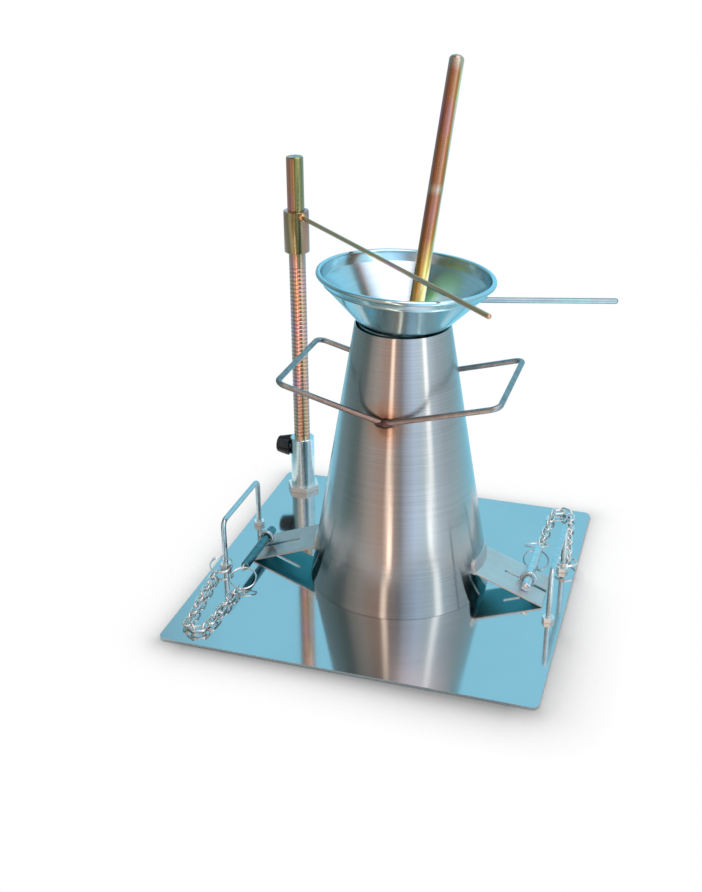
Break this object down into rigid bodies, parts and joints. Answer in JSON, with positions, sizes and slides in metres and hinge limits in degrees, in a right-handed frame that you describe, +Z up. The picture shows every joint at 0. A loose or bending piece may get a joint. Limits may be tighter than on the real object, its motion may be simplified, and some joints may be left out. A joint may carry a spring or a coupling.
{
  "type": "slump cone set",
  "caption": "Open steel cone with wire handles, pinned by foot lugs to a flat base plate, with a filling funnel, a tamping rod and a measuring post with a swinging pointer.",
  "frame": {"origin": "middle of the base plate's underside", "axes": "+Z up, front of the plate at -Y, measuring post at the back left corner"},
  "size_m": [0.4181, 0.4, 0.553],
  "materials": {
    "polished_plate": "mirror polished sheet",
    "bright_wire": "bright zinc plated",
    "bright_nuts": "bright zinc plated",
    "black_knob": "moulded, satin",
    "yellow_zinc": "yellow passivated zinc",
    "brushed_cone": "brushed stainless sheet",
    "handle_wire": "drawn stainless wire",
    "spun_funnel": "polished spun sheet"
  },
  "bodies": {
    "base": {"base_plate": "polished_plate", "carry_bail_left": "bright_wire", "carry_bail_right": "bright_wire", "bail_nuts": "bright_nuts", "foot_eye_left": "bright_wire", "foot_eye_right": "bright_wire", "post_socket": "bright_nuts", "socket_nut": "bright_nuts", "tether_ring_left": "bright_wire", "tether_ring_right": "bright_wire", "chain_left": "bright_wire", "chain_right": "bright_wire"},
    "clamp": {"clamp_knob": "black_knob", "clamp_screw": "bright_nuts"},
    "post": {"graduated_rod": "yellow_zinc"},
    "pointer": {"slide_sleeve": "yellow_zinc", "pointer_arm": "yellow_zinc"},
    "cone": {"cone_shell": "brushed_cone", "cone_handle_left": "handle_wire", "cone_handle_right": "handle_wire", "handle_welds": "handle_wire", "foot_lug_left": "brushed_cone", "foot_lug_right": "brushed_cone"},
    "funnel": {"funnel_spout": "spun_funnel", "funnel_flare": "spun_funnel", "funnel_rim": "spun_funnel", "funnel_handle": "spun_funnel"},
    "tamper": {"tamping_rod": "yellow_zinc"},
    "pin_left": {"locking_pin_left": "bright_wire", "pin_ring_left": "bright_wire"},
    "pin_right": {"locking_pin_right": "bright_wire", "pin_ring_right": "bright_wire"}
  },
  "joints": [
    {"name": "post_turn", "type": "hinge", "parent": "base", "child": "post", "pos_m": [-0.1665, 0.1625, 0.0765], "axis": [0, 0, 1], "range_deg": [-180, 8]},
    {"name": "pointer_slide", "type": "slide", "parent": "post", "child": "pointer", "axis": [0, 0, 1], "range_m": [0, 0.06]},
    {"name": "clamp_turn", "type": "hinge", "parent": "base", "child": "clamp", "pos_m": [-0.1905, 0.1625, 0.062], "axis": [-1, 0, 0], "range_deg": [0, 360]},
    {"name": "cone_shift", "type": "slide", "parent": "base", "child": "cone", "axis": [1, 0, 0], "range_m": [-0.015, 0]},
    {"name": "funnel_turn", "type": "hinge", "parent": "cone", "child": "funnel", "pos_m": [0.0075, 0.0025, 0.3031], "axis": [0, 0, 1], "range_deg": [-160, 94]},
    {"name": "tamper_lift", "type": "slide", "parent": "cone", "child": "tamper", "axis": [0.0512, 0.3834, 0.9222], "range_m": [0, 0.45]},
    {"name": "pin_left_pull", "type": "slide", "parent": "base", "child": "pin_left", "axis": [0, -1, 0], "range_m": [0, 0.024], "deforming": ["chain_left"]},
    {"name": "pin_right_pull", "type": "slide", "parent": "base", "child": "pin_right", "axis": [0, 1, 0], "range_m": [0, 0.024], "deforming": ["chain_right"]}
  ]
}
